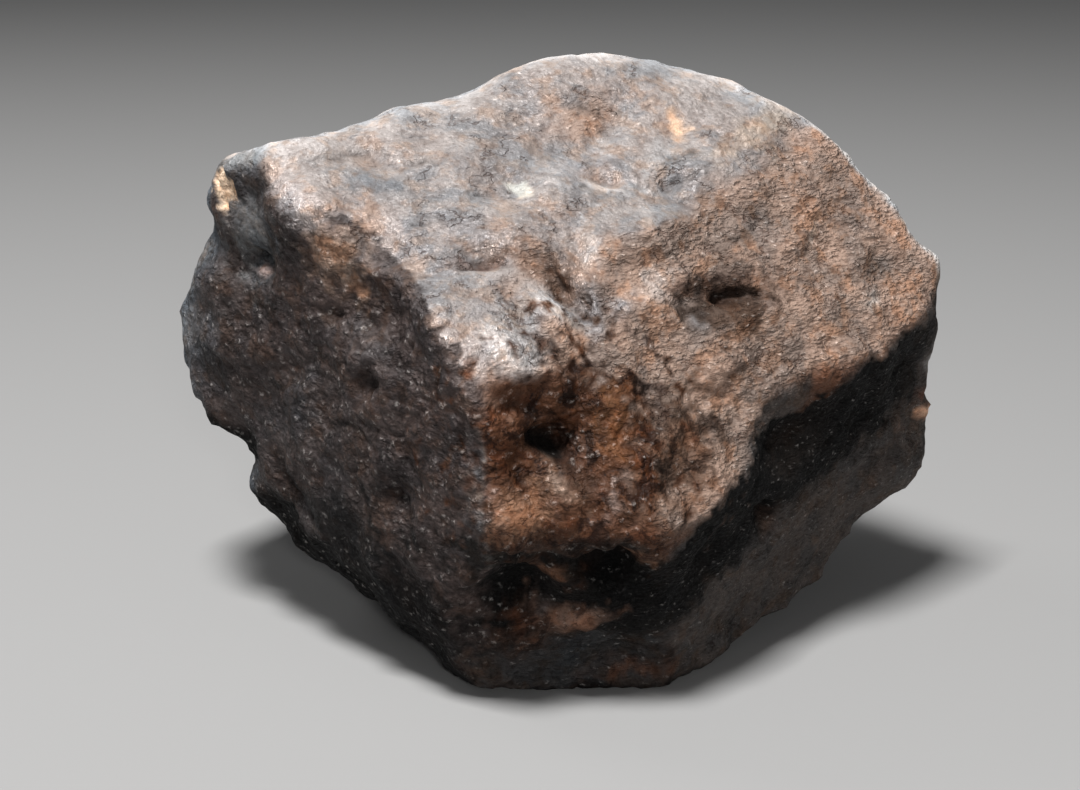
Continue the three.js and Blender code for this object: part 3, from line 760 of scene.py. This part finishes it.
def makeFusionCrust():
    material = bpy.data.materials.new("fusionCrust")
    material.use_nodes = True
    tree = material.node_tree
    tree.nodes.clear()
    place = addNode(tree, "ShaderNodeTexCoord").outputs["Object"]
    tone = readLayer(tree, "crustTone", "Color")
    grain = readLayer(tree, "crustGrain", "Fac")
    sheen, dashShare, soot = channels(tree, readLayer(tree, "crustManner", "Color"))
    edge = readLayer(tree, "crustEdge", "Fac")
    chip = readLayer(tree, "crustChip", "Fac")

    def texture(name, coords=place, output="Fac"):
        return noiseTexture(tree, coords, crustFinish["textures"][name], output)

    def ranged(name, value):
        return spread(tree, value, *crustFinish["ranges"][name])

    shares, grainFields = crustFinish["shares"], crustFinish["grainFields"]

    swirl = addNode(tree, "ShaderNodeVectorMath", operation="MULTIPLY_ADD")
    feed(tree, swirl, {0: texture("swirl", output="Color"), 1: (crustFinish["swirlSize"],) * 3, 2: place})
    swirled = swirl.outputs[0]
    dashes, dashChance = grainField(tree, place, swirled, grainFields["dashes"])
    crumbs, crumbChance = grainField(tree, place, swirled, grainFields["crumbs"])
    combs = ranged("combRidges", texture("combs", squashed(tree, place, *crustFinish["combLie"])))
    hairs = texture("hairs", squashed(tree, place, *crustFinish["hairLie"]))
    specks, mottle, tint = texture("specks"), texture("mottle"), texture("tint")

    # crumbs on smooth crust, dashes where the manner asks for them, combs where it shines
    dashPart = growing(tree, dashShare, shares["dashes"])
    relief = mixValue(tree, dashPart, crumbs, dashes)
    relief = mixValue(tree, ranged("combs", sheen), relief, combs)
    chance = mixValue(tree, dashPart, crumbChance, dashChance)

    # slate, rust and soot drift over the crust
    colour = shade(tree, ranged("slate", mottle), tone, crustFinish["slateTone"])
    rusty = multiply(tree, ranged("rust", tint), growing(tree, grain, shares["rust"]))
    colour = shade(tree, rusty, colour, crustFinish["rustTone"])
    sooty = multiply(tree, soot, crustFinish["sootShare"], ranged("blotches", texture("blotches")))
    colour = shade(tree, sooty, colour, crustFinish["sootTone"])
    # painted shade darkens the hollows and the foot of each grain, and ridges are paler from wear with a
    # painted highlight along them; the tips of the grains carry painted glints
    colour = shade(tree, ranged("hollows", edge), colour, crustFinish["hollowTone"])
    colour = shade(tree, ranged("ridges", edge), colour, crustFinish["grainTone"])
    # painted shade at the foot of each grain, stronger where the grain is coarse
    grainShadeFrom = mixValue(tree, dashPart, *crustFinish["grainShadeTop"])
    paintedGrainShade = spread(tree, relief, grainShadeFrom, crustFinish["grainShadeFull"])
    paintedGrainShade = multiply(tree, paintedGrainShade, growing(tree, grain, shares["paintedShade"]))
    colour = shade(tree, paintedGrainShade, colour, crustFinish["hollowTone"])
    # painted glints: the tips of some grains are lit up as painted highlights
    glinted = blendColour(tree, 1.0, colour, crustFinish["grainTone"], "MULTIPLY")
    glinted = blendColour(tree, 1.0, glinted, crustFinish["glintTone"], "ADD")
    glints = multiply(tree, ranged("glints", relief), ranged("glintChance", chance),
                    growing(tree, grain, shares["glints"]), ranged("glintSpecks", specks))
    colour = blendColour(tree, glints, colour, glinted)
    colour = shade(tree, ranged("paleSpecks", specks), colour, crustFinish["grainTone"])
    colour = shade(tree, ranged("darkSpecks", specks), colour, crustFinish["hollowTone"])
    # hairline cracks, only here and there
    fromHair = reckon(tree, "ABSOLUTE", reckon(tree, "SUBTRACT", hairs, crustFinish["hairMiddle"]))
    onHair = multiply(tree, ranged("hairs", fromHair), ranged("hairPlaces", mottle))
    colour = shade(tree, multiply(tree, onHair, crustFinish["hairShare"]), colour, crustFinish["hairTone"])

    height = multiply(tree, ranged("calm", texture("calm")), relief)
    normal = bumped(tree, ranged("bump", grain), crustFinish["grainHeight"], height)
    normal = bumped(tree, 1.0, crustFinish["hairDepth"], onHair, normal, invert=True)
    normal = bumped(tree, growing(tree, chip, shares["grit"]), crustFinish["gritHeight"], specks, normal)
    rough = reckon(tree, "ADD", ranged("roughness", sheen), ranged("speckRoughness", specks))
    shader = addNode(tree, "ShaderNodeBsdfPrincipled")
    feed(tree, shader, {"Base Color": colour, "Roughness": rough, "Normal": normal,
                        "Metallic": ranged("film", sheen), "Specular IOR Level": crustFinish["specular"]})
    output = addNode(tree, "ShaderNodeOutputMaterial")
    tree.links.new(shader.outputs["BSDF"], output.inputs["Surface"])
    print("stone: crust material made")
    return material


stonePiece = buildStone()
stonePiece.data.materials.append(makeFusionCrust())
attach(stonePiece, "root")
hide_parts("meteorite")

# Powers are in watts.
studio = {
    "floor": {"size": 30.0, "tone": (0.38, 0.376, 0.372, 1.0), "roughness": 0.9, "specular": 0.1},
    "aim": (0.0, 0.0, 0.025),
    "lights": [
        {"name": "overhead", "place": (-0.093, -0.186, 0.60), "size": (0.14, 0.13), "power": 5.3},
        {"name": "front", "place": (0.05, -0.42, 0.16), "size": (0.04, 0.04), "power": 0.4},
        {"name": "fill", "place": (-0.55, 0.30, 0.50), "size": (0.3, 0.3), "power": 0.6},
    ],
    "world": {"tone": (0.95, 0.97, 1.0, 1.0), "strength": 0.07},
}


def makeFloor(look):
    bm = bmesh.new()
    bmesh.ops.create_grid(bm, x_segments=4, y_segments=4, size=look["size"])
    mesh = bpy.data.meshes.new("floor")
    bm.to_mesh(mesh)
    bm.free()
    floor = bpy.data.objects.new("floor", mesh)
    bpy.context.collection.objects.link(floor)
    material = bpy.data.materials.new("floorPaper")
    material.use_nodes = True
    shader = material.node_tree.nodes["Principled BSDF"]
    feed(material.node_tree, shader, {"Base Color": look["tone"], "Roughness": look["roughness"],
                                      "Specular IOR Level": look["specular"]})
    mesh.materials.append(material)


def makeAreaLight(lamp):
    light = bpy.data.lights.new(lamp["name"], "AREA")
    light.shape = "RECTANGLE"
    light.size, light.size_y = lamp["size"]
    light.energy = lamp["power"]
    rig = bpy.data.objects.new(lamp["name"], light)
    rig.location = lamp["place"]
    rig.rotation_euler = (Vector(studio["aim"]) - Vector(lamp["place"])).to_track_quat("-Z", "Y").to_euler()
    bpy.context.collection.objects.link(rig)


makeFloor(studio["floor"])
for lamp in studio["lights"]:
    makeAreaLight(lamp)
world = bpy.data.worlds.new("studio")
world.use_nodes = True
feed(world.node_tree, world.node_tree.nodes["Background"],
     {"Color": studio["world"]["tone"], "Strength": studio["world"]["strength"]})
bpy.context.scene.world = world
bpy.context.scene.view_settings.view_transform = "Standard"
print("studio: floor and lights placed")

viewpoint = {
    "place": (-0.001903, -0.196599, 0.079),
    "down": 16.0,  # degrees below level
    "lens": 66.667,
    "sensor": 36.0,
    "clipStart": 0.01,
}
camera = bpy.data.cameras.new("camera")
camera.lens = viewpoint["lens"]
camera.sensor_width = viewpoint["sensor"]
camera.sensor_fit = "HORIZONTAL"
camera.clip_start = viewpoint["clipStart"]
cameraRig = bpy.data.objects.new("camera", camera)
cameraRig.location = viewpoint["place"]
cameraRig.rotation_euler = Euler((math.radians(90.0 - viewpoint["down"]), 0.0, 0.0))
bpy.context.collection.objects.link(cameraRig)
bpy.context.scene.camera = cameraRig
print("camera: placed")
